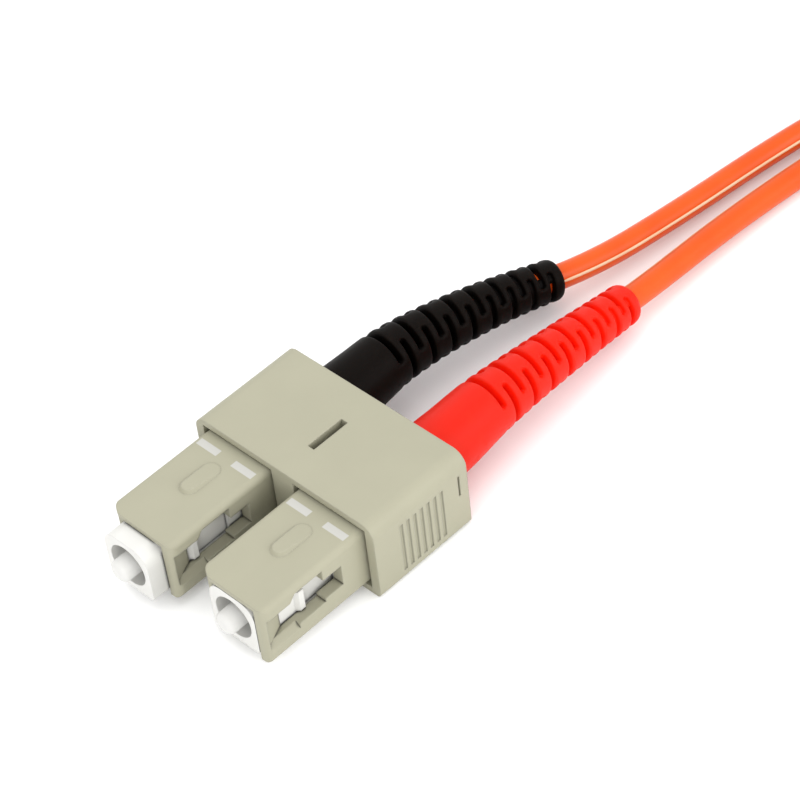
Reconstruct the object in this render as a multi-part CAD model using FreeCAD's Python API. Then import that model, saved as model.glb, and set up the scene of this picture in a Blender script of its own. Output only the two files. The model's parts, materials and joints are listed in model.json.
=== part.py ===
import FreeCAD, Part
import math
import os

# Duplex fibre optic patch cable, in millimetres.
# A pair of square push-pull plugs sits side by side in a clip at each end of a twin lead.
# The frame's origin is the middle of the near clip's bottom face. +X runs towards the cable,
# +Y towards the plug with the black boot and +Z up.

# Clip
clip_length = 12.9
clip_width = 24.7
clip_height = 9.65
clip_top_radius = 1.6
clip_bottom_radius = 0.6
clip_fit = 0.05
clip_mouth_gap = 0.35
clip_mouth_depth = 1.2
clip_slot_length = 4.7
clip_slot_width = 0.88
clip_slot_depth = 5.0
grip_count = 7
grip_pitch = 0.93
grip_width = 0.45
grip_depth = 0.15
grip_bottom = 1.1
grip_top = 7.4
latch_slit_width = 0.25
latch_slit_height = 2.7
latch_slit_depth = 0.3
latch_slit_from_rear = 1.2
latch_slit_bottom = 4.8

# Outer housing of each plug
plug_pitch = 12.7
housing_width = 9.0
housing_height = 7.4
housing_exposed = 13.3
housing_in_clip = 9.6
housing_edge_radius = 0.7
housing_left_radius = 2.2
housing_right_radius = 0.9
housing_setback = 0.6
key_width = 2.1
key_height = 0.4
key_rear_height = 0.06
key_front = 5.8
key_length = 4.9
key_lean = 0.3
window_front = 2.85
window_bottom = -1.4
window_lip = 2.15
window_lip_length = 0.6
window_rise = 0.7
window_top = 2.95
window_step = 7.75
window_neck_bottom = -1.0
window_neck_top = 1.6
window_rear = 10.15
ramp_front = 0.45
ramp_lip = 0.3
rail_chamfer = 0.65
rail_chamfer_end = 4.2

# Plug frame
frame_width = 6.2
frame_height = 6.2
frame_length = 16.5
frame_top_radius = 1.8
frame_bottom_radius = 0.4
frame_clearance = 0.1
frame_travel = 2.0
cavity_radius = 2.4
cavity_depth = 6.0
web_thickness = 1.0
web_hole_clearance = 0.15
rear_bore_radius = 2.3
latch_front = 5.0
latch_ramp = 0.35
latch_length = 1.0
latch_rise = 0.4
latch_height = 2.6
recess_length = 4.4
recess_depth = 0.45
recess_height = 3.6

# Ferrule and its flange
ferrule_radius = 1.25
ferrule_length = 10.5
ferrule_stand_out = 1.5
ferrule_chamfer = 0.3
ferrule_free = 7.1
ferrule_seat_radius = 1.05
ferrule_travel = 0.8
glue_gap = 0.01
flange_radius = 2.1
flange_thickness = 1.5
flange_seat_gap = 0.1
stem_radius = 1.5
stem_length = 3.0
buffer_radius = 0.45
buffer_clearance = 0.05

# Ferrule spring
spring_wire = 0.4
spring_radius = 1.95
spring_turns = 4
spring_sides = 8
spring_end_gap = 0.05

# Crimp body and sleeve
stop_front = 13.0
stop_clearance = 0.05
collar_radius = 3.0
collar_thickness = 1.1
barrel_radius = 1.95
barrel_length = 5.0
crimp_gap = 0.05
crimp_wall = 0.4
crimp_length = 7.2

# Boot
boot_standoff = 2.1
spigot_radius = 2.95
boot_shoulder = 25.1
boot_root_radius = 3.62
boot_taper_start = 29.2
boot_waist = 45.0
boot_waist_radius = 2.83
boot_end = 58.0
boot_tip_radius = 2.28
boot_sleeve_bore = 2.5
boot_sleeve_room = 9.7
boot_cable_gap = 0.32
boot_bore_step = 0.05
boot_hole_gap = 0.22
boot_joint_overlap = 0.4
boot_joint_step = 0.03
slot_rows = 16
slot_first = 37.8
slot_pitch = 1.28
slot_width = 0.55
slot_wall = 0.15
slot_roll = -6.0

# Twin lead
lead_radius = 1.4
lead_start = 25.0
far_lead_start = 52.25

# Hank that puts the hidden length away, and its tie
hank_start = 95.0
hank_straight = 56.5
hank_offset = -0.25
hank_inner_radius = 8.4
hank_turn_step = 2.9
hank_layers = 4
hank_layer_step = 2.9
hank_lap = 5.0
hank_sink = 0.5
tie_width = 12.0
tie_thickness = 0.6
tie_gap = 0.05

# Far end of the lead
far_end_x = 231.0

# Places that follow from the sizes above
axis_height = clip_height / 2
clip_rear = clip_length / 2
plug_front = -clip_rear - housing_exposed
housing_rear = -clip_rear + housing_in_clip
half_pitch = plug_pitch / 2
boot_front = frame_length + boot_standoff
boot_sleeve_bore_end = frame_length + boot_sleeve_room
hank_outer_radius = hank_inner_radius + hank_turn_step
hank_side = hank_offset - hank_outer_radius
hank_base = tie_thickness
hank_level = hank_base + lead_radius
hank_top = hank_level + hank_layers * hank_layer_step
hank_end = hank_start + hank_straight

# How far each plug stands forward of its rear stop at rest, and where its leg's jacket starts
plugs = {
    "a": {"side": 1, "forward": frame_travel, "far": False, "slotted": True, "lead_start": lead_start},
    "b": {"side": -1, "forward": 0.0, "far": False, "slotted": True, "lead_start": lead_start},
    "c": {"side": 1, "forward": 0.0, "far": True, "slotted": False, "lead_start": far_lead_start},
    "d": {"side": -1, "forward": 0.0, "far": True, "slotted": False, "lead_start": far_lead_start},
}

# Route of each leg, from its boot to the hank: the first four points lie inside the boot.
near_routes = {
    "a": [
        (9.5, half_pitch, axis_height),
        (16.0, half_pitch + 0.1, axis_height + 0.3),
        (27.5, 4.6, 4.25),
        (40.0, 1.25, 2.35),
        (53.0, -0.15, 1.75),
        (66.5, -1.27, 1.45),
        (76.0, -3.5, 2.3),
        (85.5, -8.2, 4.6),
        (hank_start, hank_side, hank_level + hank_layer_step),
    ],
    "b": [
        (9.5, -half_pitch, axis_height),
        (16.0, -half_pitch + 0.2, axis_height + 0.4),
        (28.0, -6.1, 4.3),
        (41.0, -5.65, 2.35),
        (53.0, -5.6, 1.95),
        (65.0, -6.1, 1.4),
        (75.0, -7.5, 1.5),
        (85.0, -10.2, 1.9),
        (hank_start, hank_side, hank_level),
    ],
}

# The same at the far end, from the boot's tip back to the runs that lie side by side on the hank.
far_routes = {
    "c": [
        (far_end_x - 44.0, half_pitch, axis_height),
        (far_end_x - 54.0, 2.6, 7.6),
        (far_end_x - 64.5, -4.4, 12.0),
        (far_end_x - 74.5, -8.2, 13.9),
        (hank_end - hank_lap, hank_offset - hank_inner_radius, hank_top - hank_sink),
    ],
    "d": [
        (far_end_x - 44.0, -half_pitch, axis_height),
        (far_end_x - 54.0, -7.5, 7.4),
        (far_end_x - 64.5, -10.2, 11.6),
        (far_end_x - 74.5, -11.5, 13.7),
        (hank_end - hank_lap, hank_side, hank_top - hank_sink),
    ],
}


def box(low, high):
    """A box between two corners."""
    size = [high[i] - low[i] for i in range(3)]
    return Part.makeBox(*size, FreeCAD.Vector(*low))


def prism(points, direction):
    """A closed outline of points, extruded along a direction."""
    corners = [FreeCAD.Vector(*point) for point in points]
    outline = Part.makePolygon(corners + corners[:1])
    return Part.Face(outline).extrude(FreeCAD.Vector(*direction))


def rod(radius, start, length):
    """A round rod along X, on the axis."""
    return Part.makeCylinder(radius, length, FreeCAD.Vector(start, 0, 0), FreeCAD.Vector(1, 0, 0))


def turned(profile):
    """A closed profile of (x, radius) points, revolved about the X axis."""
    corners = [FreeCAD.Vector(x, 0, radius) for x, radius in profile]
    face = Part.Face(Part.makePolygon(corners + corners[:1]))
    return face.revolve(FreeCAD.Vector(0, 0, 0), FreeCAD.Vector(1, 0, 0), 360)


def rounded_bar(x_start, length, width, bottom, top, bottom_radius, top_radius):
    """A bar along X whose section is a rectangle with rounded corners."""
    half = width / 2
    corners = [
        (-half, bottom, bottom_radius, 180),
        (half, bottom, bottom_radius, 270),
        (half, top, top_radius, 0),
        (-half, top, top_radius, 90),
    ]
    arcs = []
    for y, z, radius, angle in corners:
        centre = FreeCAD.Vector(x_start, y - math.copysign(radius, y), z + (radius if z == bottom else -radius))
        around = [math.radians(angle + turn) for turn in (0, 45, 90)]
        arcs.append(
            Part.Arc(*[centre + FreeCAD.Vector(0, math.cos(t), math.sin(t)) * radius for t in around]).toShape()
        )
    edges = []
    for arc, following in zip(arcs, arcs[1:] + arcs[:1]):
        edges.append(arc)
        edges.append(Part.makeLine(arc.Vertexes[-1].Point, following.Vertexes[0].Point))
    section = Part.Face(Part.Wire(edges))
    return section.extrude(FreeCAD.Vector(length, 0, 0))


def route_wire(points):
    """Straight runs joined by tangent arcs, each as large as its two runs allow."""
    spots = [FreeCAD.Vector(*point) for point in points]
    edges = []
    start = spots[0]
    for before, corner, after in zip(spots, spots[1:], spots[2:]):
        back = (before - corner).normalize()
        ahead = (after - corner).normalize()
        reach = 0.45 * min((before - corner).Length, (after - corner).Length)
        half_turn = (math.pi - back.getAngle(ahead)) / 2
        inward = (back + ahead).normalize()
        radius = reach / math.tan(half_turn)
        sagitta = radius / math.cos(half_turn) - radius
        first = corner + back * reach
        last = corner + ahead * reach
        edges.append(Part.LineSegment(start, first).toShape())
        edges.append(Part.Arc(first, corner + inward * sagitta, last).toShape())
        start = last
    edges.append(Part.LineSegment(start, spots[-1]).toShape())
    return Part.Wire(edges)


def route_radii(points):
    """The arc radii of a route, for the printed list."""
    wire = route_wire(points)
    return [edge.Curve.Radius for edge in wire.Edges if edge.Curve.TypeId == "Part::GeomCircle"]


def station(wire, distance):
    """The point and direction at a distance along a route."""
    for edge in wire.Edges:
        if distance <= edge.Length or edge.isSame(wire.Edges[-1]):
            place = edge.getParameterByLength(min(max(distance, 0.0), edge.Length))
            return edge.valueAt(place), edge.tangentAt(place)
        distance -= edge.Length


def ring(wire, distance, radius):
    """A circle square to a route, turned from the X axis so that neighbouring rings line up."""
    point, direction = station(wire, distance)
    x_axis = FreeCAD.Vector(1, 0, 0)
    circle = Part.makeCircle(radius, FreeCAD.Vector(0, 0, 0), x_axis)
    circle.Placement = FreeCAD.Placement(point, FreeCAD.Rotation(x_axis, direction))
    return Part.Wire(circle)


def swept_rod(wire, radius):
    """A round rod along a route."""
    return wire.makePipeShell([ring(wire, 0.0, radius)], True, True)


def clip():
    """One moulded clip: two pockets open to the front, round boot holes behind them, a slot and side grips."""
    body = rounded_bar(
        -clip_rear, clip_length, clip_width, 0.0, clip_height, clip_bottom_radius, clip_top_radius
    )
    cuts = []
    for side in (-1, 1):
        middle = side * half_pitch
        for gap, depth in ((clip_fit, housing_in_clip + clip_fit), (clip_mouth_gap, clip_mouth_depth)):
            half_width = housing_width / 2 + gap
            half_height = housing_height / 2 + gap
            cuts.append(
                box(
                    (-clip_rear, middle - half_width, axis_height - half_height),
                    (-clip_rear + depth, middle + half_width, axis_height + half_height),
                )
            )
        hole = rod(boot_root_radius + boot_hole_gap, 0.0, clip_length)
        hole.translate(FreeCAD.Vector(0, middle, axis_height))
        cuts.append(hole)
        outside = side * clip_width / 2
        for index in range(grip_count):
            x = (index - (grip_count - 1) / 2) * grip_pitch
            inner, outer = sorted((outside - side * grip_depth, outside + side))
            cuts.append(box((x - grip_width / 2, inner, grip_bottom), (x + grip_width / 2, outer, grip_top)))
        x = clip_rear - latch_slit_from_rear
        inner, outer = sorted((outside - side * latch_slit_depth, outside + side))
        cuts.append(
            box(
                (x - latch_slit_width / 2, inner, latch_slit_bottom),
                (x + latch_slit_width / 2, outer, latch_slit_bottom + latch_slit_height),
            )
        )
    cuts.append(
        box(
            (-clip_slot_length / 2, -clip_slot_width / 2, clip_height - clip_slot_depth),
            (clip_slot_length / 2, clip_slot_width / 2, clip_height + 1),
        )
    )
    return body.cut(Part.makeCompound(cuts)).removeSplitter()


def outer_housing():
    """A square sleeve: a key on top, a stepped latch window and a release ramp on each side, an uneven front."""
    length = housing_exposed + housing_in_clip
    half_width = housing_width / 2
    half_height = housing_height / 2
    inner_width = frame_width / 2 + frame_clearance
    inner_height = frame_height / 2 + frame_clearance
    body = rounded_bar(
        plug_front, length, housing_width, -half_height, half_height, housing_edge_radius, housing_edge_radius
    )
    plan = box(
        (plug_front, -half_width, -half_height), (plug_front + length, half_width, half_height)
    )
    for side, radius in ((1, housing_left_radius), (-1, housing_right_radius)):
        front_edges = [
            edge for edge in plan.Edges
            if (edge.CenterOfMass - FreeCAD.Vector(plug_front, side * half_width, 0)).Length < 1e-6
        ]
        plan = plan.makeFillet(radius, front_edges)
    body = body.common(plan).fuse(housing_key(half_height))
    cuts = [
        rounded_bar(
            plug_front - 1, length + 2, 2 * inner_width, -inner_height, inner_height,
            frame_bottom_radius + frame_clearance, frame_top_radius + frame_clearance,
        ),
        box(
            (plug_front - 1, -inner_width, -half_height - 1),
            (plug_front + housing_setback, half_width + 1, inner_height),
        ),
    ]
    window_x = plug_front + window_front
    rise_x = window_x + window_lip_length
    step_x = plug_front + window_step
    rear_x = plug_front + window_rear
    window = [
        (window_x, window_bottom), (window_x, window_lip), (rise_x, window_lip), (rise_x + window_rise, window_top),
        (step_x, window_top), (step_x, window_neck_top), (rear_x, window_neck_top), (rear_x, window_neck_bottom),
        (step_x, window_neck_bottom), (step_x, window_bottom),
    ]
    for side in (-1, 1):
        wall = side * (half_width + 1 - inner_width)
        cuts.append(prism([(x, side * inner_width, z) for x, z in window], (0, wall, 0)))
        ramp = [
            (plug_front + ramp_front, side * (half_width + 1), window_bottom),
            (plug_front + ramp_front, side * (half_width - ramp_lip), window_bottom),
            (window_x, side * inner_width, window_bottom),
            (window_x, side * (half_width + 1), window_bottom),
        ]
        cuts.append(prism(ramp, (0, 0, window_lip - window_bottom)))
        chamfer = [
            (plug_front + ramp_front, side * (half_width - rail_chamfer), window_bottom),
            (plug_front + ramp_front, side * (half_width + rail_chamfer), window_bottom),
            (plug_front + ramp_front, side * (half_width + rail_chamfer), window_bottom - 2 * rail_chamfer),
        ]
        cuts.append(prism(chamfer, (rail_chamfer_end - ramp_front, 0, 0)))
    return body.cut(Part.makeCompound(cuts)).removeSplitter()


def housing_key(foot):
    """The key on top of a housing: a round-ended bar with leaning sides that slopes down to its rear."""
    front = plug_front + key_front
    rear = front + key_length
    lean = key_lean / key_height
    outlines = []
    for height in (-key_height, key_height):
        half = key_width / 2 - lean * height
        first, last = front + key_width / 2, rear - key_width / 2
        spots = [
            FreeCAD.Vector(first, half, foot + height), FreeCAD.Vector(first - half, 0, foot + height),
            FreeCAD.Vector(first, -half, foot + height), FreeCAD.Vector(last, -half, foot + height),
            FreeCAD.Vector(last + half, 0, foot + height), FreeCAD.Vector(last, half, foot + height),
        ]
        edges = [
            Part.Arc(*spots[0:3]).toShape(), Part.makeLine(spots[2], spots[3]),
            Part.Arc(*spots[3:6]).toShape(), Part.makeLine(spots[5], spots[0]),
        ]
        outlines.append(Part.Wire(edges))
    bar = Part.makeLoft(outlines, True, True)
    side = [
        (front, -key_width, foot - key_height), (rear, -key_width, foot - key_height),
        (rear, -key_width, foot + key_rear_height), (front + key_width / 2, -key_width, foot + key_height),
        (front, -key_width, foot + key_height),
    ]
    return bar.common(prism(side, (0, 2 * key_width, 0)))


def rod_upright(radius, x, height):
    """A round rod along Z, from the axis up."""
    return Part.makeCylinder(radius, height, FreeCAD.Vector(x, 0, 0), FreeCAD.Vector(0, 0, 1))


def plug_frame():
    """The frame round the ferrule: arched on top, a round cavity in front, a web, a rear bore and side latches."""
    half_width = frame_width / 2
    half_height = frame_height / 2
    start = plug_front
    body = rounded_bar(
        start, frame_length, frame_width, -half_height, half_height, frame_bottom_radius, frame_top_radius
    )
    cuts = []
    for side in (-1, 1):
        face = side * half_width
        proud = side * (half_width + latch_rise)
        front = start + latch_front
        rear = front + latch_length
        latch = [
            (front, 0, -latch_height / 2),
            (front, face, -latch_height / 2),
            (front + latch_ramp, proud, -latch_height / 2),
            (rear, proud, -latch_height / 2),
            (rear, 0, -latch_height / 2),
        ]
        body = body.fuse(prism(latch, (0, 0, latch_height)))
        inner, outer = sorted((side * (half_width - recess_depth), side * (half_width + 1)))
        cuts.append(box((rear, inner, -recess_height / 2), (rear + recess_length, outer, recess_height / 2)))
    cuts.append(rod(cavity_radius, start, cavity_depth))
    cuts.append(rod(ferrule_radius + web_hole_clearance, start, cavity_depth + web_thickness))
    rear = start + cavity_depth + web_thickness
    cuts.append(rod(rear_bore_radius, rear, frame_length - cavity_depth - web_thickness))
    return body.cut(Part.makeCompound(cuts)).removeSplitter()


def ferrule():
    """The polished ceramic pin, with a chamfered tip and a thinner seat for the flange."""
    tip = plug_front - ferrule_stand_out
    end = tip + ferrule_length
    return turned(
        [
            (tip, 0),
            (tip, ferrule_radius - ferrule_chamfer),
            (tip + ferrule_chamfer, ferrule_radius),
            (tip + ferrule_free, ferrule_radius),
            (tip + ferrule_free, ferrule_seat_radius),
            (end, ferrule_seat_radius),
            (end, 0),
        ]
    )


def flange_seat():
    """Where the flange's front face rests, just behind the frame's web."""
    return plug_front + cavity_depth + web_thickness + flange_seat_gap


def ferrule_flange():
    """The metal flange glued on the ferrule's rear end, with a hollow stem for the spring."""
    front = flange_seat()
    ferrule_end = plug_front - ferrule_stand_out + ferrule_length
    back = front + flange_thickness
    end = back + stem_length
    hole = buffer_radius + buffer_clearance
    return turned(
        [
            (front, ferrule_seat_radius + glue_gap),
            (front, flange_radius),
            (back, flange_radius),
            (back, stem_radius),
            (end, stem_radius),
            (end, hole),
            (ferrule_end + glue_gap, hole),
            (ferrule_end + glue_gap, ferrule_seat_radius + glue_gap),
        ]
    )


def buffered_fibre():
    """The buffered fibre from the ferrule's rear end to the cable's jacket."""
    start = plug_front - ferrule_stand_out + ferrule_length + 2 * glue_gap
    end = plug_front + lead_start - ferrule_travel - buffer_clearance
    return rod(buffer_radius, start, end - start)


def ferrule_spring():
    """The coil spring behind the flange, as a square wire bent round a many-sided coil."""
    start = flange_seat() + flange_thickness + spring_end_gap + spring_wire / 2
    end = plug_front + stop_front - spring_end_gap - spring_wire / 2
    steps = spring_turns * spring_sides
    sections = []
    for index in range(steps + 1):
        angle = 2 * math.pi * index / spring_sides
        outward = FreeCAD.Vector(0, math.cos(angle), math.sin(angle))
        middle = FreeCAD.Vector(start + (end - start) * index / steps, 0, 0) + outward * spring_radius
        along = FreeCAD.Vector(1, 0, 0) * (spring_wire / 2)
        across = outward * (spring_wire / 2)
        corners = [middle + along + across, middle - along + across, middle - along - across, middle + along - across]
        sections.append(Part.makePolygon(corners + corners[:1]))
    return Part.makeLoft(sections, True, True)


def crimp_body():
    """The metal stop behind the spring, with a collar and the barrel that the cable is crimped on."""
    front = plug_front + stop_front
    collar = plug_front + frame_length
    barrel = collar + collar_thickness
    hole = buffer_radius + buffer_clearance
    return turned(
        [
            (front, hole),
            (front, rear_bore_radius - stop_clearance),
            (collar, rear_bore_radius - stop_clearance),
            (collar, collar_radius),
            (barrel, collar_radius),
            (barrel, barrel_radius),
            (barrel + barrel_length, barrel_radius),
            (barrel + barrel_length, hole),
        ]
    )


def crimp_sleeve():
    """The sleeve crimped over the barrel and the cable's strength yarns."""
    start = plug_front + frame_length + collar_thickness + crimp_gap
    bore = barrel_radius + crimp_gap
    sleeve = rod(bore + crimp_wall, start, crimp_length)
    return sleeve.cut(rod(bore, start, crimp_length))


def lead_route(name, points):
    """A leg's route in the part's frame, from where its jacket starts inside the plug."""
    plug = plugs[name]
    start = plug_front + plug["lead_start"] - plug["forward"]
    if plug["far"]:
        start = far_end_x - start
    return [(start, points[0][1], points[0][2])] + points


def boot(name, points):
    """A bent, tapered sleeve: a spigot in the housing, a smooth root and staggered slots towards the tip.

    The bend is shared out between the slots: between every second row the sleeve is a straight cone.
    """
    plug = plugs[name]
    route = lead_route(name, points)
    if plug["far"]:
        route = [(far_end_x - x, -y, z) for x, y, z in route]
    wire = route_wire(route)
    axis = FreeCAD.Vector(1, 0, 0)
    start = plug["lead_start"]
    origin = FreeCAD.Vector(*route[0]) - axis * start
    rows = range(slot_rows if plug["slotted"] else 0)
    row_places = [slot_first + row * slot_pitch for row in rows]

    def centre(place):
        """The middle of the boot at a place along it, in front of the lead's start or on its route."""
        return origin + axis * place if place <= start else station(wire, place - start)[0]

    def radius(place):
        """The boot's outer radius at a place along its taper, which eases off behind the waist."""
        if place < boot_waist:
            share = (place - boot_taper_start) / (boot_waist - boot_taper_start)
            return boot_root_radius + (boot_waist_radius - boot_root_radius) * share
        share = (place - boot_waist) / (boot_end - boot_waist)
        return boot_waist_radius + (boot_tip_radius - boot_waist_radius) * share

    root = Part.makeCylinder(
        boot_root_radius, boot_taper_start - boot_shoulder, origin + axis * boot_shoulder, axis
    )
    spigot = Part.makeCylinder(spigot_radius, boot_shoulder - boot_front, origin + axis * boot_front, axis)
    lengths = [root, spigot]
    smooth = [boot_taper_start, row_places[0] if rows else boot_waist]
    if not rows:
        smooth.append(boot_end)
    for near, far in zip(smooth, smooth[1:]):
        run = (centre(far) - centre(near)).normalize()
        tail = centre(near) - run * boot_joint_overlap
        reach = (centre(far) - tail).Length
        lengths.append(Part.makeCone(radius(near) - boot_joint_step, radius(far), reach, tail, run))
    joints = row_places[0::2] + [boot_end]
    for near, far in zip(joints, joints[1:]):
        run = (centre(far) - centre(near)).normalize()
        tail = centre(near) - run * boot_joint_overlap
        reach = (centre(far) - tail).Length
        lengths.append(Part.makeCylinder(radius((near + far) / 2), reach, tail, run))
    body = lengths[0].fuse(lengths[1:]).removeSplitter()

    bore = lead_radius + boot_cable_gap
    ends = [FreeCAD.Vector(*point) for point in route]
    ends[0] = origin + axis * boot_front
    holes = [
        Part.makeCylinder(boot_sleeve_bore, boot_sleeve_bore_end - boot_front, origin + axis * boot_front, axis)
    ]
    for index, (first, last) in enumerate(zip(ends, ends[1:])):
        run = last - first
        lap = FreeCAD.Vector(run).normalize() * boot_joint_overlap
        if first.x < centre(boot_end).x:
            reach = run.Length + 2 * boot_joint_overlap
            holes.append(Part.makeCylinder(bore + boot_bore_step * (index % 2), reach, first - lap, run))
    for hole in holes:
        body = body.cut(hole)

    slots = []
    for row, place in enumerate(row_places):
        run = station(wire, place - start)[1]
        turn = FreeCAD.Rotation(axis, run)
        for side in (0, 180):
            roll = FreeCAD.Rotation(axis, slot_roll + 90 * (row % 2) + side)
            slot = box(
                (-slot_width / 2, -boot_root_radius, bore + boot_bore_step + slot_wall),
                (slot_width / 2, boot_root_radius, boot_root_radius + 1),
            )
            slot.Placement = FreeCAD.Placement(centre(place), turn * roll)
            slots.append(slot)
    if slots:
        body = body.cut(Part.makeCompound(slots))
    body.translate(FreeCAD.Vector(0, -origin.y, -origin.z))
    return body


def stadium(radius, bottom, height):
    """A long slab with round ends, on the hank's plan."""
    slab = box(
        (hank_start, hank_offset - radius, bottom), (hank_end, hank_offset + radius, bottom + height)
    )
    for x in (hank_start, hank_end):
        slab = slab.fuse(Part.makeCylinder(radius, height, FreeCAD.Vector(x, hank_offset, bottom)))
    return slab.removeSplitter()


def cord_hank():
    """The outer shape of the hank: a long ring of turns."""
    height = (hank_layers - 1) * hank_layer_step + 2 * lead_radius
    body = stadium(hank_outer_radius + lead_radius, hank_base, height)
    return body.cut(stadium(hank_inner_radius - lead_radius, hank_base - 1, height + 2))


def hank_tie():
    """A flat strap round the middle of the hank, which slopes off the two runs that lie on top."""
    start = (hank_start + hank_end - tie_width) / 2
    half = hank_outer_radius + lead_radius + tie_gap
    shelf = hank_inner_radius - lead_radius
    low = hank_top - hank_layer_step + lead_radius + tie_gap
    high = hank_top + lead_radius + tie_gap

    def bar(grow):
        """The space inside the strap, or the same grown by the strap's thickness."""
        corners = [
            (-half - grow, hank_base - grow), (half + grow, hank_base - grow),
            (half + grow, low + grow), (-shelf, high + grow), (-half - grow, high + grow),
        ]
        return prism([(start, hank_offset + y, z) for y, z in corners], (tie_width, 0, 0))

    return bar(tie_thickness).cut(bar(0))


def placed(shape, name):
    """A plug's piece, moved from its own axis to its place in the near or far clip."""
    plug = plugs[name]
    moved = shape.copy()
    moved.translate(FreeCAD.Vector(-plug["forward"], 0, 0))
    return seated(moved, name)


def seated(shape, name):
    """A piece on a plug's axis, set in the near or far clip."""
    plug = plugs[name]
    moved = shape.copy()
    if plug["far"]:
        moved.rotate(FreeCAD.Vector(0, 0, 0), FreeCAD.Vector(0, 0, 1), 180)
        moved.translate(FreeCAD.Vector(far_end_x, 0, 0))
    moved.translate(FreeCAD.Vector(0, plug["side"] * half_pitch, axis_height))
    return moved


def main():
    os.makedirs("parts", exist_ok=True)
    parts = {"near_clip": clip(), "cord_hank": cord_hank(), "hank_tie": hank_tie()}
    far_clip = clip()
    far_clip.rotate(FreeCAD.Vector(0, 0, 0), FreeCAD.Vector(0, 0, 1), 180)
    far_clip.translate(FreeCAD.Vector(far_end_x, 0, 0))
    parts["far_clip"] = far_clip
    shared = {
        "plug_frame": plug_frame(),
        "ferrule": ferrule(),
        "ferrule_flange": ferrule_flange(),
        "ferrule_spring": ferrule_spring(),
        "buffered_fibre": buffered_fibre(),
        "crimp_body": crimp_body(),
        "crimp_sleeve": crimp_sleeve(),
    }
    housing = outer_housing()
    for name, plug in plugs.items():
        points = (far_routes if plug["far"] else near_routes)[name]
        parts["outer_housing_" + name] = seated(housing, name)
        for piece, shape in shared.items():
            parts[piece + "_" + name] = placed(shape, name)
        parts["boot_" + name] = seated(boot(name, points), name)
        route = lead_route(name, points)
        wire = route_wire(route)
        lead = swept_rod(wire, lead_radius)
        parts["lead_" + name] = lead
        radii = ", ".join("%.0f" % radius for radius in route_radii(route))
        share = lead.Volume / (math.pi * lead_radius**2 * wire.Length)
        print("lead_%s: %.1f mm, radii %s, volume over section times length %.4f" % (name, wire.Length, radii, share))
    for node, shape in parts.items():
        solids = shape.Solids
        if len(solids) != 1 or not shape.isValid():
            print("check", node, len(solids), shape.isValid())
        solids[0].exportStep("parts/" + node + ".step")
    print(len(parts), "nodes")


main()
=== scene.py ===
import json
import math

import bpy
import numpy as np
from mathutils import Matrix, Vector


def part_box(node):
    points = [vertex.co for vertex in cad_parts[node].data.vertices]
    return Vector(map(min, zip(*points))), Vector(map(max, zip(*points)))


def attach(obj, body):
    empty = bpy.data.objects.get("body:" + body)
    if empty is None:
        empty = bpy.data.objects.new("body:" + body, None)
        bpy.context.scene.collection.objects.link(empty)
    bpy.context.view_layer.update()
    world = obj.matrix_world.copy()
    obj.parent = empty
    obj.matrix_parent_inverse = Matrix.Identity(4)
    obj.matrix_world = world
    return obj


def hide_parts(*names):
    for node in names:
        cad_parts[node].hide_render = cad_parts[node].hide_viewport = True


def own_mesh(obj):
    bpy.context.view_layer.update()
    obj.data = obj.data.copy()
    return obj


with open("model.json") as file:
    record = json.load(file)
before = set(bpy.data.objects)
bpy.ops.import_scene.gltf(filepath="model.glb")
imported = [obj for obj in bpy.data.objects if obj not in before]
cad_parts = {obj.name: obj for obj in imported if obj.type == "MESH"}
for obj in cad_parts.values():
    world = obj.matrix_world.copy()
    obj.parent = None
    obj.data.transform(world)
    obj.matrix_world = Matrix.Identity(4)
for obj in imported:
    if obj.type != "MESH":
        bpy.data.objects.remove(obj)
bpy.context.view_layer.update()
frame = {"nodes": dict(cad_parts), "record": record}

# Sizes are in millimetres and angles in degrees; meshes are made in metres
MM = 0.001

# Plugs
AXIS_HEIGHT = 4.825
HALF_PITCH = 6.35
FAR_END = 231.0
PLUG_FRONT = 19.75
FRAME_TRAVEL = 2.0

# Each plug: its side of the clip, its end of the lead, and how far it and its boot on it stand forward
PLUGS = {
    "a": {"side": 1, "far": False, "forward": FRAME_TRAVEL, "boot_slip": 0.0},
    "b": {"side": -1, "far": False, "forward": 0.0, "boot_slip": 0.4},
    "c": {"side": 1, "far": True, "forward": 0.0, "boot_slip": 0.0},
    "d": {"side": -1, "far": True, "forward": 0.0, "boot_slip": 0.0},
}

# Ferrule: the places and radii of its dome, by the distance from its tip, then its rod and its tail
FERRULE_DOME = [(0.0, 0.02), (0.012, 0.5), (0.05, 0.72), (0.13, 0.92), (0.25, 1.08), (0.4, 1.19)]
FERRULE_DOME_END = 0.6
FERRULE_RADIUS = 1.25
FERRULE_SIDES = 64
TAIL_START = 7.1
TAIL_RADIUS = 1.05
TAIL_BEVEL = (0.15, 0.1)

# Ferrule spring
SPRING_RADIUS = 1.95
SPRING_TURNS = 6
SPRING_TURN_STEPS = 36
WIRE_RADIUS = 0.2
WIRE_SIDES = 10
CLOSE_TURN = 2.1 * WIRE_RADIUS

# Lead
CORD_RADIUS = 1.4
CORD_ROUNDNESS = 6
CURVE_STEPS = 10

# Hank of the put-away length
HANK_START = 95.0
HANK_END = 151.5
HANK_MIDDLE = -0.25
HANK_INNER = 8.5
HANK_OUTER = 11.32
HANK_LEVEL = 2.0
HANK_STEP = 2.9
HANK_STEPS = 4
RUN_POINTS = 5
BEND_POINTS = 8

# Strap round the hank: its ends, and between which places it rises on to its own start
STRAP_WIDTH = 12.0
STRAP_THICKNESS = 0.58
STRAP_GAP = 0.03
STRAP_TURN = 3.4
STRAP_BEVEL = 0.1
STRAP_ENDS = (8.0, -0.5)
STRAP_LAP = (11.5, 8.4)
STRAP_LAP_GAP = 0.02

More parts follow.
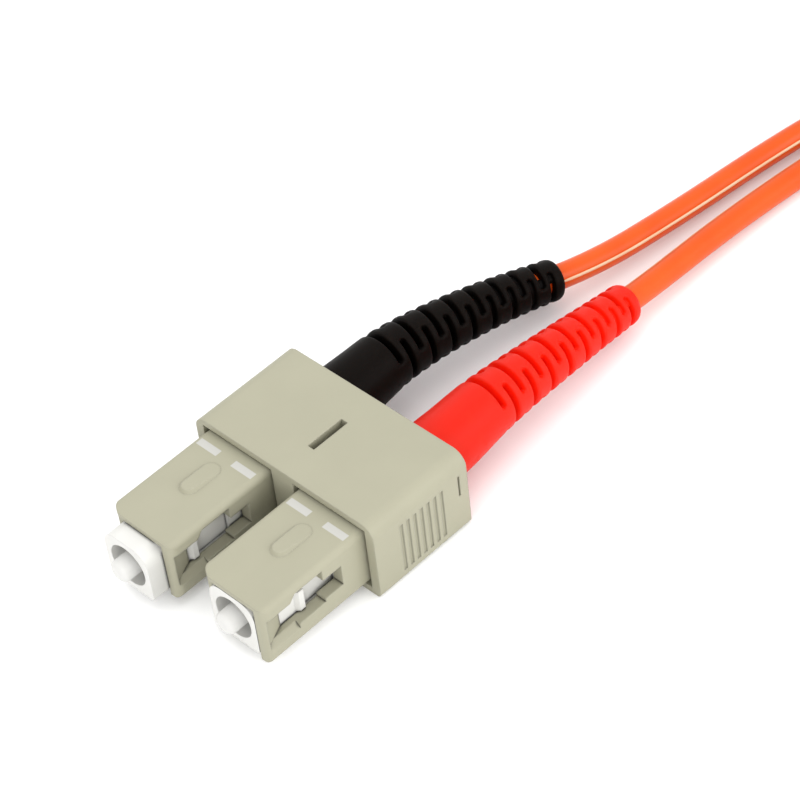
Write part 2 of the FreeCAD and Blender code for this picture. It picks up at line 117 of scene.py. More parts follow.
# Boot: its outline and its bore as places from the plug's front and radii
BOOT_START = 18.6
BOOT_END = 58.0
BOOT_OUTLINE = np.array([
    (BOOT_START, 2.85), (18.8, 2.95), (25.5, 2.95), (25.6, 3.5), (25.8, 3.62), (29.2, 3.62), (32.0, 3.5),
    (37.0, 3.25), (42.0, 2.97), (47.0, 2.74), (52.0, 2.5), (57.2, 2.3), (BOOT_END, 2.28),
])
BOOT_BORE = np.array([
    (BOOT_END, 1.62), (57.9, 1.55), (57.3, 1.52), (57.15, 1.1), (53.6, 1.1), (53.3, 1.62), (45.0, 1.62),
    (38.0, 1.62), (32.0, 1.62), (27.0, 1.62), (26.2, 2.5), (22.0, 2.5), (BOOT_START, 2.5),
])
ROOT_ROWS = np.array([BOOT_START, 18.8, 22.0, 25.5, 25.6, 25.8, 27.0, 29.2, 30.5, 32.0, 33.5, 34.8])
TIP_ROWS = np.array([1.0, 0.66, 0.4, 0.2, 0.07, 0.0])
TIP_ROUND = 0.8
TIP_DROP = 0.6
BOOT_AXIS_POINTS = 400
BOOT_ANGLE_STEP = 6.0
BOOT_FINE_ANGLES = np.arange(-7.0, 7.0)

# Slots of a boot; those of the last rows go through to the lead in their middle
SLOT_ROWS = 16
SLOT_FIRST = 35.75
SLOT_PITCH = 1.505
SLOT_SHRINK = 0.0085
SLOT_REACH = 64.0
SLOT_ROLL = -2.0
SLOT_HALF = 0.3
SLOT_FLOOR = 1.85
THROUGH_ROWS = 2
THROUGH_FLOOR = 1.25
THROUGH_ANGLE = 22.0
THROUGH_EASE = 16.0
LIP_OFFSET = SLOT_HALF + np.array([0.0, 0.018, 0.06, 0.12, 0.19, 0.28])
LIP_DEPTH = np.array([9.0, 0.28, 0.15, 0.07, 0.025, 0.0])

# Past a slot's end its rows lie close together, and spread out again over a stretch
ROWS_CLOSE = 0.12
ROWS_SPREAD_START = 0.6
ROWS_SPREAD = 0.8

# Torn web that joined the two legs
WEB_START = -1.0
WEB_LENGTH = 44.0
WEB_POINTS = 120
WEB_SIDES = 16
WEB_ANGLE = 72.0
WEB_RISE = 0.14
WEB_SUNK = 0.06
WEB_WIDTH = 0.34
WEB_FADE = 2.0
WEB_END_SHARE = 0.02

# Printed marks on the housings: their distance from the middle of the whole cable and from a plug's axis,
# and the heights between which they set in
MARK_ALONG = (123.05, 123.91)
MARK_ACROSS = (1.05, 3.88)
MARK_HEIGHT = (8.35, 8.45)
MARK_EDGE = 0.03

# Distances from the middle of the whole cable between which the painted shade in crevices grows stronger
# towards the plugs' fronts
CREVICE_SHADE_RAMP = (FAR_END / 2 + 8.0, FAR_END / 2 + 8.2)

# Light that falls on a surface, where 1 shows white paper as just white
LIGHT_LEVEL = 1.63

# Samples for edges and crevices, and between which limits these begin and are full, where 0 is flat and open
LOOK_SAMPLES = 8
EDGE_LIMITS = (0.005, 0.16)
CREVICE_LIMITS = (0.08, 0.55)

# Floor, in metres, and where it is lit up for the camera, in its own coordinates
FLOOR_SIZE = 6
FLOOR_PLACE = (0.1, 0, 0)
FLOOR_GREY = 0.9
FLOOR_GLOW = 0.22
FRONT_SLANT = 0.6
FRONT_EDGE = (-128.0, -104.0)
HANK_SIDE_X = (-22.0, 0.0)
HANK_SIDE_Y = (4.0, 30.0)
HANK_SIDE_EDGE = 3.0
SKY_LIGHT = 1.3

# Camera
SENSOR_WIDTH = 36.0
FOCAL_PIXELS = 2743
PICTURE_PIXELS = 800


def smooth(value):
    """0 below 0, 1 above 1, and a smooth step between."""
    share = np.clip(value, 0, 1)
    return share * share * (3 - 2 * share)


def unit(vectors):
    """Vectors of length 1 in the same directions."""
    return vectors / np.linalg.norm(vectors, axis=-1, keepdims=True)


# Shader maths


class Field:
    """A number that varies over a surface: arithmetic on fields adds Math nodes to their material."""

    def __init__(self, paint, socket):
        self.paint = paint
        self.socket = socket

    def __add__(self, other):
        return self.paint.math("ADD", self, other)

    def __sub__(self, other):
        return self.paint.math("SUBTRACT", self, other)

    def __mul__(self, other):
        return self.paint.math("MULTIPLY", self, other)

    def __rsub__(self, other):
        return self.paint.math("SUBTRACT", other, self)

    def __abs__(self):
        return self.paint.math("ABSOLUTE", self)

    __radd__ = __add__
    __rmul__ = __mul__

    def step(self, low, high):
        """A smooth step from 0 to 1 as this field goes from low to high."""
        settings = {"interpolation_type": "SMOOTHSTEP"}
        return self.paint.node("ShaderNodeMapRange", settings, {0: self, 1: low, 2: high})

    def between(self, low, high, soft):
        """1 where this field lies between two values, with soft edges."""
        return self.step(low - soft, low + soft) * (1 - self.step(high - soft, high + soft))


class Paint:
    """A material in the making: one Principled shader and the fields that feed it."""

    def __init__(self, name):
        self.material = bpy.data.materials.new(name)
        self.material.use_nodes = True
        self.tree = self.material.node_tree
        self.shader = self.tree.nodes["Principled BSDF"]

    def feed(self, node, sockets):
        """Set a node's sockets, by name or place, to fields or plain values."""
        for key, value in sockets.items():
            if isinstance(value, Field):
                self.tree.links.new(value.socket, node.inputs[key])
            else:
                node.inputs[key].default_value = value

    def node(self, kind, settings=None, sockets=None, output=0):
        """Any node: its settings first, then its sockets; gives one output as a field."""
        made = self.tree.nodes.new(kind)
        for key, value in (settings or {}).items():
            setattr(made, key, value)
        self.feed(made, sockets or {})
        return Field(self, made.outputs[output])

    def math(self, operation, *values):
        """One Math node on fields and plain numbers."""
        return self.node("ShaderNodeMath", {"operation": operation}, dict(enumerate(values)))

    def mix(self, factor, first, second):
        """One colour turning into another."""
        return self.node("ShaderNodeMix", {"data_type": "RGBA"}, {0: factor, 6: first, 7: second}, 2)

    def place(self):
        """Object coordinates in millimetres, as a vector."""
        metres = self.node("ShaderNodeTexCoord", output="Object")
        return self.node("ShaderNodeVectorMath", {"operation": "SCALE"}, {0: metres, "Scale": 1 / MM})

    def split(self, vector):
        """The x, y and z of a vector."""
        return [self.node("ShaderNodeSeparateXYZ", None, {0: vector}, axis) for axis in range(3)]

    def noise(self, vector, scale, detail):
        """Smooth noise around 0.5, with so many lumps to a millimetre."""
        return self.node("ShaderNodeTexNoise", None, {"Vector": vector, "Scale": scale, "Detail": detail})

    def round_edges(self, radius):
        """A normal eased round edges by a radius in millimetres, and how much of an edge there is."""
        eased = self.node("ShaderNodeBevel", {"samples": LOOK_SAMPLES}, {"Radius": radius * MM})
        flat = self.node("ShaderNodeNewGeometry", output="Normal")
        same = self.node("ShaderNodeVectorMath", {"operation": "DOT_PRODUCT"}, {0: eased, 1: flat}, "Value")
        return eased, (1 - same).step(*EDGE_LIMITS)

    def crevice(self, reach):
        """How much a point is shut in by a corner or gap, from 0 to 1, within a reach in millimetres."""
        settings = {"samples": LOOK_SAMPLES}
        open_share = self.node("ShaderNodeAmbientOcclusion", settings, {"Distance": reach * MM}, "AO")
        return (1 - open_share).step(*CREVICE_LIMITS)

    def bump(self, height, normal=None):
        """The surface normal, or an eased one, bumped by a height in millimetres."""
        sockets = {"Height": height, "Distance": MM}
        if normal:
            sockets["Normal"] = normal
        self.feed(self.shader, {"Normal": self.node("ShaderNodeBump", None, sockets)})

    def done(self, **sockets):
        """Feed the shader, spaces in socket names written as underscores."""
        self.feed(self.shader, {key.replace("_", " "): value for key, value in sockets.items()})
        return self.material


# Finishes


def linear(colour, share=1.0):
    """The shader's colour for a surface that looks like a share of this screen colour in the studio's light.

    A screen colour goes from 0 to 255, and may go past that for a surface that gets less light.
    """
    screen = share * np.array(colour) / 255
    value = np.where(screen <= 0.04045, screen / 12.92, ((screen + 0.055) / 1.055) ** 2.4)
    return (*(value / LIGHT_LEVEL).tolist(), 1.0)


def moulded(name, colour, edge, rough, grain, rounding, mark=None):
    """Satin moulded plastic: flow clouds, fine grain, rounded edges worn a little lighter.

    Crevices get painted shade. The housings have printed marks on top, in a colour of their own.
    """
    paint = Paint(name)
    vector = paint.place()
    x, y, z = paint.split(vector)
    cloud = paint.noise(vector, scale=0.16, detail=3.0)
    fine = paint.noise(vector, scale=9.0, detail=2.0)
    eased, wear = paint.round_edges(rounding)
    shade = paint.mix(cloud.step(0.3, 0.72), linear(colour, share=0.985), linear(colour))
    shade = paint.mix(wear * (0.3 + 0.7 * fine), shade, linear(edge))
    from_middle = abs(x - FAR_END / 2)
    # Painted shade in crevices, full in front of the clips and a fifth as strong behind their fronts
    dark = paint.crevice(reach=0.4) * (0.2 + 0.8 * from_middle.step(*CREVICE_SHADE_RAMP))
    shade = paint.mix(dark, shade, linear(colour, share=0.52))
    if mark:
        from_axis = abs(abs(y) - HALF_PITCH)
        printed = from_middle.between(*MARK_ALONG, MARK_EDGE) * from_axis.between(*MARK_ACROSS, MARK_EDGE)
        shade = paint.mix(printed * z.step(*MARK_HEIGHT) * 0.9, shade, linear(mark))
    paint.bump(fine * grain + cloud * grain, eased)
    return paint.done(Base_Color=shade, Roughness=rough + 0.12 * fine - 0.06, Specular_IOR_Level=0.25)


def rubber(name, colour, scuffed, painted_slot_light, shine):
    """Soft moulded rubber: a dull skin with fine pores and scuffed patches, painted light in its slots."""
    paint = Paint(name)
    vector = paint.place()
    fine = paint.noise(vector, scale=7.0, detail=3.0)
    scuff = paint.noise(vector, scale=0.9, detail=4.0).step(0.5, 0.8)
    shade = paint.mix(scuff * 0.5 + fine * 0.2, linear(colour), linear(scuffed))
    # Painted light in the slots: painted shade in the black boots, painted bounce light in the red ones
    shade = paint.mix(paint.crevice(reach=1.0), shade, linear(painted_slot_light))
    paint.bump(fine * 0.006)
    glow = {"Subsurface Weight": 0.35, "Subsurface Radius": (1.0, 0.3, 0.15), "Subsurface Scale": 0.6 * MM}
    paint.feed(paint.shader, glow)
    return paint.done(Base_Color=shade, Roughness=0.5 + 0.15 * scuff - 0.1 * fine, Specular_IOR_Level=shine)


def metal(name, colour, rough, tool_lines):
    """Turned metal: fine tool lines across the axis, a sine of x, and a varying polish."""
    paint = Paint(name)
    vector = paint.place()
    x = paint.split(vector)[0]
    turned = paint.math("SINE", x * tool_lines)
    cloud = paint.noise(vector, scale=0.8, detail=3.0)
    shade = paint.mix(cloud, linear(colour), linear(colour, share=0.82))
    paint.bump(turned * 0.002 + cloud * 0.004)
    return paint.done(Base_Color=shade, Roughness=rough + 0.15 * cloud, Metallic=1.0)


def jacket(name, colour, light):
    """Extruded cable jacket: a smooth, slightly wavy skin with a soft gloss."""
    paint = Paint(name)
    vector = paint.place()
    cloud = paint.noise(vector, scale=0.22, detail=3.0)
    fine = paint.noise(vector, scale=3.5, detail=2.0)
    shade = paint.mix(cloud.step(0.25, 0.75), linear(colour), linear(light))
    paint.bump(fine * 0.004 + cloud * 0.01)
    return paint.done(Base_Color=shade, Roughness=0.3 + 0.1 * fine, Specular_IOR_Level=0.26)


def looped(name, colour, dark):
    """Hook-and-loop fabric: a fuzz of fine loops, dark between them."""
    paint = Paint(name)
    vector = paint.place()
    loops = paint.node("ShaderNodeTexVoronoi", {"feature": "F1"}, {"Vector": vector, "Scale": 3.2})
    fuzz = paint.noise(vector, scale=6.0, detail=4.0)
    shade = paint.mix(loops.step(0.1, 0.9), linear(colour), linear(dark))
    paint.bump((1 - loops) * 0.08 + fuzz * 0.05)
    return paint.done(Base_Color=shade, Roughness=0.85 + 0.1 * fuzz)


FINISHES = {
    "beige_plastic": moulded(
        "beige_plastic", (191, 188, 164), edge=(203, 200, 178), rough=0.5, grain=0.004, rounding=0.26,
        mark=(222, 221, 216),
    ),
    "white_plastic": moulded(
        "white_plastic", (253, 252, 247), edge=(255, 254, 250), rough=0.42, grain=0.003, rounding=0.12,
    ),
    "zirconia": moulded(
        "zirconia", (246, 245, 241), edge=(249, 248, 245), rough=0.22, grain=0.0006, rounding=0.05,
    ),
    "buffer_coat": moulded(
        "buffer_coat", (235, 232, 220), edge=(242, 240, 230), rough=0.4, grain=0.002, rounding=0.05,
    ),
    "black_rubber": rubber("black_rubber", (17, 12, 9), scuffed=(29, 23, 19), painted_slot_light=(9, 6, 5), shine=0.04),
    "red_rubber": rubber("red_rubber", (251, 34, 8), scuffed=(253, 44, 17), painted_slot_light=(290, 38, 6), shine=0.14),
    "nickel": metal("nickel", (205, 200, 190), rough=0.25, tool_lines=40.0),
    "spring_steel": metal("spring_steel", (190, 190, 192), rough=0.3, tool_lines=5.0),
    "crimp_metal": metal("crimp_metal", (178, 172, 160), rough=0.35, tool_lines=18.0),
    "orange_jacket": jacket("orange_jacket", (249, 90, 0), light=(251, 98, 8)),
    "tie_fabric": looped("tie_fabric", (44, 44, 47), dark=(18, 18, 20)),
}
TORN_WEB = jacket("torn_web", (255, 206, 164), light=(255, 220, 184))


# Surfaces


def grid_quads(rows, columns, close_rows):
    """Faces of a grid of points that is closed round its columns, and if asked along its rows."""
    row = np.arange(rows if close_rows else rows - 1)[:, None]
    column = np.arange(columns)[None, :]
    after = (row + 1) % rows
    beside = (column + 1) % columns
    corners = (
        row * columns + column, row * columns + beside, after * columns + beside, after * columns + column,
    )
    return np.stack(np.broadcast_arrays(*corners), -1).reshape(-1, 4).tolist()


def rod_quads(rows, columns):
    """Faces of rings of points, one ring to a row, with a flat face on the first and on the last."""
    first = list(range(columns))
    last = [(rows - 1) * columns + column for column in first]
    return grid_quads(rows, columns, False) + [first[::-1], last]


def piece(name, points, faces, finish, sharp):
    """A smooth mesh from points in millimetres and faces, sharp where it turns by more than an angle."""
    mesh = bpy.data.meshes.new(name)
    mesh.from_pydata((np.reshape(points, (-1, 3)) * MM).tolist(), [], faces)
    mesh.shade_smooth()
    mesh.set_sharp_from_angle(angle=math.radians(sharp))
    mesh.materials.append(finish)
    made = bpy.data.objects.new(name, mesh)
    bpy.context.scene.collection.objects.link(made)
    return made


def set_in(made, node, body):
    """Put a piece in place of a solid, on its body."""
    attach(made, body)
    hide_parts(node)


def directions(centres):
    """Unit vectors along a line of points."""
    return unit(np.gradient(centres, axis=0))


def frames(centres):
    """Unit vectors along a line of points, and two across it: the first as near upright as can be."""
    along = directions(centres)
    upright = unit(np.array([0, 0, 1]) - along[:, 2:] * along)
    return along, upright, np.cross(along, upright)


def points_at(places, known, points):
    """Points at places on a line, read off between the places where its points are known."""
    return np.stack([np.interp(places, known, points[:, axis]) for axis in range(3)], -1)


def round_surface(centres, upright, sideways, radius, angles):
    """Points round each centre, at a radius that may vary.

    They are centre + radius (cos a upright + sin a sideways) for each angle a.
    """
    outward = upright[:, None] * np.cos(angles)[:, None] + sideways[:, None] * np.sin(angles)[:, None]
    return centres[:, None] + np.broadcast_to(radius, outward.shape[:2])[..., None] * outward


def solid_corners(node):
    """A solid's lowest and highest corner, in millimetres."""
    return [np.array(corner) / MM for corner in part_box(node)]


# Legs of the lead: each runs from its near boot through the hank to its far boot

LEGS = {"a": "c", "b": "d"}
NEAR_ROUTES = {
    "a": [
        (8.0, 6.35, 4.825), (9.5, 6.35, 4.825), (16.0, 6.45, 5.125), (27.5, 4.6, 4.25), (40.0, 1.25, 2.35),
        (53.0, -0.15, 1.75), (66.5, -1.27, 1.45), (76.0, -3.5, 2.3), (85.5, -9.8, 4.9), (92.0, -12.2, 4.95),
    ],
    "b": [
        (9.5, -6.35, 4.825), (10.5, -6.35, 4.825), (16.0, -6.15, 5.225), (28.0, -6.1, 4.3),
        (41.0, -5.65, 2.35), (53.0, -5.6, 1.95), (65.0, -6.1, 1.4), (75.0, -7.5, 1.5), (84.0, -10.6, 1.9),
        (92.0, -12.3, 1.95),
    ],
}
FAR_ROUTES = {
    "c": [
        (156.5, -8.2, 13.9), (166.5, -4.4, 12.9), (177.0, 2.6, 7.6), (187.0, 6.35, 4.825),
        (200.0, 6.35, 4.825),
    ],
    "d": [
        (156.5, -11.5, 13.7), (166.5, -10.2, 11.6), (177.0, -7.5, 7.4), (187.0, -6.35, 4.825),
        (200.0, -6.35, 4.825),
    ],
}

# How a leg changes its radius and height within each turn, and between which places on the turn, where 0 is
# the start of the run back: it moves in, climbs two layers, moves out, and climbs on top for the last run
TURN_MOVES = [
    [(HANK_INNER - HANK_OUTER, 0, 69, 97)],
    [(0, 2 * HANK_STEP, 54, 84)],
    [(HANK_OUTER - HANK_INNER, 0, 44, 71)],
]
LAST_MOVES = {
    "a": [(0, HANK_STEP, 30, 47), (HANK_INNER - HANK_OUTER, 0, 38, 56)],
    "b": [(0, 2 * HANK_STEP, 35, 60)],
}


def hank_turns(leg):
    """Control points of a leg's turns: round a long ring with straight runs and half-round ends, then on top.

    The points of an end are the corners of a half polygon that the round touches from within.
    """
    run = HANK_END - HANK_START
    middle_radius = (HANK_INNER + HANK_OUTER) / 2
    bend = math.pi * middle_radius
    half_corner = math.pi / BEND_POINTS / 2
    lap = middle_radius * math.tan(half_corner) / run
    on_run = np.linspace(lap, 1 - lap, RUN_POINTS)
    on_bend = (np.arange(BEND_POINTS) + 0.5) / BEND_POINTS
    turn = math.pi * on_bend
    widen = 1 / math.cos(half_corner)
    x = np.concatenate([
        HANK_START + run * on_run, HANK_END + 0 * turn, HANK_END - run * on_run, HANK_START + 0 * turn,
    ])
    out_x = np.concatenate([0 * on_run, np.sin(turn) * widen, 0 * on_run, -np.sin(turn) * widen])
    out_y = np.concatenate([0 * on_run - 1, -np.cos(turn) * widen, 0 * on_run + 1, np.cos(turn) * widen])
    along = np.concatenate([
        run * on_run, run + bend * on_bend, run + bend + run * on_run, 2 * run + bend + bend * on_bend,
    ]) - run - bend
    radius = HANK_OUTER
    height = HANK_LEVEL + (HANK_STEP if leg == "a" else 0)
    turns = []
    for moves in TURN_MOVES + [LAST_MOVES[leg]]:
        radii = 0 * along + radius
        heights = 0 * along + height
        for outward, upward, begin, end in moves:
            share = smooth((along - begin) / (end - begin))
            radii += outward * share
            heights += upward * share
            radius += outward
            height += upward
        turns.append(np.stack([x + radii * out_x, HANK_MIDDLE + radii * out_y, heights], -1))
    last = HANK_START + run * on_run[:-1]
    turns.append(np.stack([last, 0 * last + HANK_MIDDLE - radius, 0 * last + height], -1))
    return np.concatenate(turns)


def open_curve(name, points, thick):
    """An open NURBS curve along control points, as a round cord or as a bare line."""
    data = bpy.data.curves.new(name, "CURVE")
    data.dimensions = "3D"
    data.resolution_u = CURVE_STEPS
    if thick:
        data.bevel_depth = CORD_RADIUS * MM
        data.bevel_resolution = CORD_ROUNDNESS
        data.use_fill_caps = True
        data.materials.append(FINISHES["orange_jacket"])
    spline = data.splines.new("NURBS")
    spline.points.add(len(points) - 1)
    homogeneous = np.ones((len(points), 4))
    homogeneous[:, :3] = points * MM
    spline.points.foreach_set("co", homogeneous.ravel())
    spline.order_u = 3
    spline.use_endpoint_u = True
    made = bpy.data.objects.new(name, data)
    bpy.context.scene.collection.objects.link(made)
    return made


def line_of(control):
    """The points, in millimetres, that a bare curve along control points passes through."""
    curve = open_curve("line", control, False)
    bpy.context.view_layer.update()
    mesh = bpy.data.meshes.new_from_object(curve)
    points = np.zeros(len(mesh.vertices) * 3)
    mesh.vertices.foreach_get("co", points)
    bpy.data.meshes.remove(mesh)
    bpy.data.objects.remove(curve)
    return points.reshape(-1, 3) / MM


legs = {}
lines = {}
for near, far in LEGS.items():
    route = np.concatenate([NEAR_ROUTES[near], hank_turns(near), FAR_ROUTES[far]])
    legs[near] = open_curve("leg_" + near, route, True)
    lines[near] = line_of(route)
    lines[far] = lines[near][::-1]


# Boots


def boot_axis(name, places):
    """Points on a boot's axis, by distance from the plug's front: straight, and then on the leg's line."""
    plug = PLUGS[name]
    ahead = -1 if plug["far"] else 1
    front = np.array([
        FAR_END + PLUG_FRONT if plug["far"] else -PLUG_FRONT - plug["forward"] - plug["boot_slip"],
        plug["side"] * HALF_PITCH,
        AXIS_HEIGHT,
    ])
    line = lines[name]
    along_line = np.concatenate([[0], np.cumsum(np.linalg.norm(np.diff(line, axis=0), axis=1))])
    begun = abs(line[0, 0] - front[0])
    straight = front + np.array([ahead, 0, 0]) * places[:, None]
    return np.where(places[:, None] < begun, straight, points_at(places - begun, along_line, line))


def boot_radius(places):
    """A boot's outer radius by place: a sleeve inside the clip, a straight root, a taper, a rounded tip."""
    taper = np.interp(places, BOOT_OUTLINE[:, 0], BOOT_OUTLINE[:, 1])
    into_tip = np.clip(1 - (BOOT_END - places) / TIP_ROUND, 0, 1)
    return taper - TIP_ROUND * TIP_DROP * (1 - np.sqrt(1 - into_tip * into_tip))


def boot_rows():
    """Rows of points along a boot: the middle of a slot or a place, the side offset, and the slot's number.

    Each slot has rows at its rounded lips, at the top and the foot of its walls, at offsets to both sides.
    The rows before the first slot and after the last one have the number -1.
    """
    tip = BOOT_END - TIP_ROUND * TIP_ROWS
    slot = np.arange(SLOT_ROWS)
    middles = SLOT_FIRST + SLOT_PITCH * slot - SLOT_SHRINK * slot * slot
    offsets = np.concatenate([-LIP_OFFSET[::-1], LIP_OFFSET])
    middle = np.concatenate([ROOT_ROWS, np.repeat(middles, offsets.size), tip])
    offset = np.concatenate([0 * ROOT_ROWS, np.tile(offsets, SLOT_ROWS), 0 * tip])
    number = np.concatenate([0 * ROOT_ROWS - 1, np.repeat(slot, offsets.size), 0 * tip - 1]).astype(int)
    return middle, offset, number


def boot_angles():
    """Angles round a boot, closer together at the slots' ends."""
    ends = SLOT_ROLL + np.array([-SLOT_REACH, SLOT_REACH])
    ends = np.concatenate([ends, ends + 90, ends + 180, ends + 270])
    toward = np.tile([-1, 1], 4)
    fine = ends[:, None] + toward[:, None] * BOOT_FINE_ANGLES
    angles = np.concatenate([np.arange(0, 360, BOOT_ANGLE_STEP), fine.ravel()]) % 360
    return np.unique(np.round(angles, 2))


def boot_outside(angles):
    """The places and radii of a boot's outer points, by row and angle.

    Each slot is a groove with straight sides and half-round ends, and its rows are lines at equal distance
    from its middle line: offset = sqrt(distance^2 - way past the end's centre^2). Its depth follows that
    distance: full inside, then eased over the lips. Slots in turn lie a quarter turn apart, two to a row.
    """
    middle, offset, number = boot_rows()
    number = number[:, None]
    from_middle = np.abs((angles - SLOT_ROLL - 90 * (number % 2) + 90) % 180 - 90)
    distance = np.abs(offset)[:, None]
    past = np.deg2rad(from_middle - SLOT_REACH) * boot_radius(middle)[:, None] + SLOT_HALF
    past = np.maximum(past, 0)
    aside = np.sqrt(np.maximum(distance ** 2 - past ** 2, (ROWS_CLOSE * distance) ** 2))
    aside += (distance - aside) * smooth((past - ROWS_SPREAD_START) / ROWS_SPREAD)
    places = middle[:, None] + np.sign(offset)[:, None] * aside
    depth = np.where(number < 0, 0, np.interp(np.maximum(distance, past), LIP_OFFSET, LIP_DEPTH))
    in_last_rows = number >= SLOT_ROWS - THROUGH_ROWS
    through = in_last_rows * (1 - smooth((from_middle - THROUGH_ANGLE) / THROUGH_EASE))
    floor = SLOT_FLOOR + (THROUGH_FLOOR - SLOT_FLOOR) * through
    radius = boot_radius(places)
    return places, np.maximum(radius - depth, np.minimum(floor, radius))


def boot(name, slot):
    """A boot round its leg: its grooved outside from front to tip, and its bore back again, in one ring."""
    angles = boot_angles()
    places, radius = boot_outside(angles)
    bore_places, bore_radius = np.broadcast_to(BOOT_BORE.T[..., None], (2, len(BOOT_BORE), angles.size))
    places = np.concatenate([places, bore_places])
    radius = np.concatenate([radius, bore_radius])
    on_axis = np.linspace(BOOT_START, BOOT_END, BOOT_AXIS_POINTS)
    across = frames(boot_axis(name, on_axis))[1:]
    upright, sideways = (points_at(places, on_axis, part) for part in across)
    turn = np.deg2rad(angles)[:, None]
    outward = upright * np.cos(turn) + sideways * np.sin(turn)
    points = boot_axis(name, places.ravel()).reshape(outward.shape) + radius[..., None] * outward
    faces = grid_quads(len(places), angles.size, True)
    return piece("boot_sleeve_" + name, points, faces, FINISHES[slot], sharp=50.0)


# Webs


def torn_web(leg):
    """The rest of the web that joined the legs: a low, rounded ridge along a leg, on the side of the other.

    It is a small ellipse, its lower half sunk in the jacket, swept along the leg's line from inside the boot.
    """
    places = BOOT_END + np.linspace(WEB_START, WEB_LENGTH, WEB_POINTS)
    centres = boot_axis(leg, places)
    along, upright, sideways = frames(centres)
    side = math.radians(WEB_ANGLE * PLUGS[leg]["side"])
    outward = upright * math.cos(side) + sideways * math.sin(side)
    around = np.cross(along, outward)
    turn = np.linspace(0, 2 * np.pi, WEB_SIDES, endpoint=False)
    from_end = np.minimum(places - places[0], places[-1] - places)
    fade = np.sqrt(np.clip(from_end / WEB_FADE, WEB_END_SHARE, 1))[:, None]
    rise = CORD_RADIUS - WEB_SUNK + (WEB_RISE + WEB_SUNK) * fade * np.cos(turn)
    spread = WEB_WIDTH / 2 * fade * np.sin(turn)
    points = centres[:, None] + rise[..., None] * outward[:, None] + spread[..., None] * around[:, None]
    return piece("torn_web_" + leg, points, rod_quads(places.size, turn.size), TORN_WEB, sharp=60.0)


# Ferrules


def ferrule(name):
    """A ceramic ferrule: a straight rod with a domed tip and a thinner tail that sits in the flange."""
    low, high = solid_corners("ferrule_" + name)
    far = PLUGS[name]["far"]
    length = high[0] - low[0]
    outline = np.array(FERRULE_DOME + [
        (FERRULE_DOME_END, FERRULE_RADIUS), (TAIL_START, FERRULE_RADIUS), (TAIL_START, TAIL_RADIUS),
        (length - TAIL_BEVEL[0], TAIL_RADIUS), (length, TAIL_RADIUS - TAIL_BEVEL[1]),
    ])
    tip = np.array([high[0] if far else low[0], (low[1] + high[1]) / 2, (low[2] + high[2]) / 2])
    centres = tip + np.array([-1 if far else 1, 0, 0]) * outline[:, :1]
    upright, sideways = frames(centres)[1:]
    angles = np.linspace(0, 2 * np.pi, FERRULE_SIDES, endpoint=False)
    points = round_surface(centres, upright, sideways, outline[:, 1:], angles)
    faces = rod_quads(len(outline), angles.size)
    return piece("ferrule_rod_" + name, points, faces, FINISHES["zirconia"], sharp=60.0)


# Springs


def ferrule_spring(name):
    """A coil spring of round wire: a small circle swept along a helix whose first and last turns lie close.

    It is set in its plug.
    """
    plug = PLUGS[name]
    low, high = solid_corners("ferrule_spring_" + name)
    length = high[0] - low[0] - 2 * WIRE_RADIUS
    turns = np.linspace(0, SPRING_TURNS, SPRING_TURNS * SPRING_TURN_STEPS + 1)
    rise = np.interp(
        turns, [0, 1, SPRING_TURNS - 1, SPRING_TURNS], [0, CLOSE_TURN, length - CLOSE_TURN, length],
    )
    turn = 2 * np.pi * turns
    radial = np.stack([0 * turn, np.cos(turn), np.sin(turn)], -1)
    start = np.array([low[0] + WIRE_RADIUS, plug["side"] * HALF_PITCH, AXIS_HEIGHT])
    centres = start + rise[:, None] * np.array([1, 0, 0]) + SPRING_RADIUS * radial
    ring = np.linspace(0, 2 * np.pi, WIRE_SIDES, endpoint=False)
    points = round_surface(centres, radial, np.cross(directions(centres), radial), WIRE_RADIUS, ring)
    faces = rod_quads(turns.size, ring.size)
    made = piece("ferrule_coil_" + name, points, faces, FINISHES["spring_steel"], sharp=60.0)
    set_in(made, "ferrule_spring_" + name, "plug_" + name)
    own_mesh(made)


# Strap


def strap_line():
    """The middle line of the strap, and the directions along it and outwards.

    It is a curve led by the corners of the space that the turns take up and by a point on each side of each
    corner: high over the two last runs, and from there sloping down to the other side. Where it comes round
    again it steps up, over its start.
    """
    half = HANK_OUTER + CORD_RADIUS + STRAP_GAP + STRAP_THICKNESS / 2
    base = HANK_LEVEL - CORD_RADIUS - STRAP_THICKNESS / 2
    high = HANK_LEVEL + HANK_STEPS * HANK_STEP + CORD_RADIUS + STRAP_GAP + STRAP_THICKNESS / 2
    low = high - HANK_STEP
    shelf = HANK_INNER - CORD_RADIUS
    slope = (low - high) / (half + shelf)
    begin, end = ((y, low + slope * (y - half)) for y in STRAP_ENDS)
    corners = np.array([begin, (-shelf, high), (-half, high), (-half, base), (half, base), (half, low), end])
    control = [corners[0]]
    for before, corner, after in zip(corners[:-2], corners[1:-1], corners[2:]):
        back = STRAP_TURN * unit(before - corner)
        onward = STRAP_TURN * unit(after - corner)
        control += [corner + back, corner, corner + onward]
    control.append(corners[-1])
    middle = (HANK_START + HANK_END) / 2
    line = line_of(np.array([(middle, HANK_MIDDLE + y, z) for y, z in control]))
    along = directions(line)
    outward = np.cross(along, [1.0, 0.0, 0.0])
    lapped = (along[:, 1] < 0) & (np.arange(len(line)) > len(line) / 2)
    lift = np.where(lapped, smooth((STRAP_LAP[0] - line[:, 1]) / (STRAP_LAP[0] - STRAP_LAP[1])), 0.0)
    return line + (STRAP_THICKNESS + STRAP_LAP_GAP) * lift[:, None] * outward, along, outward


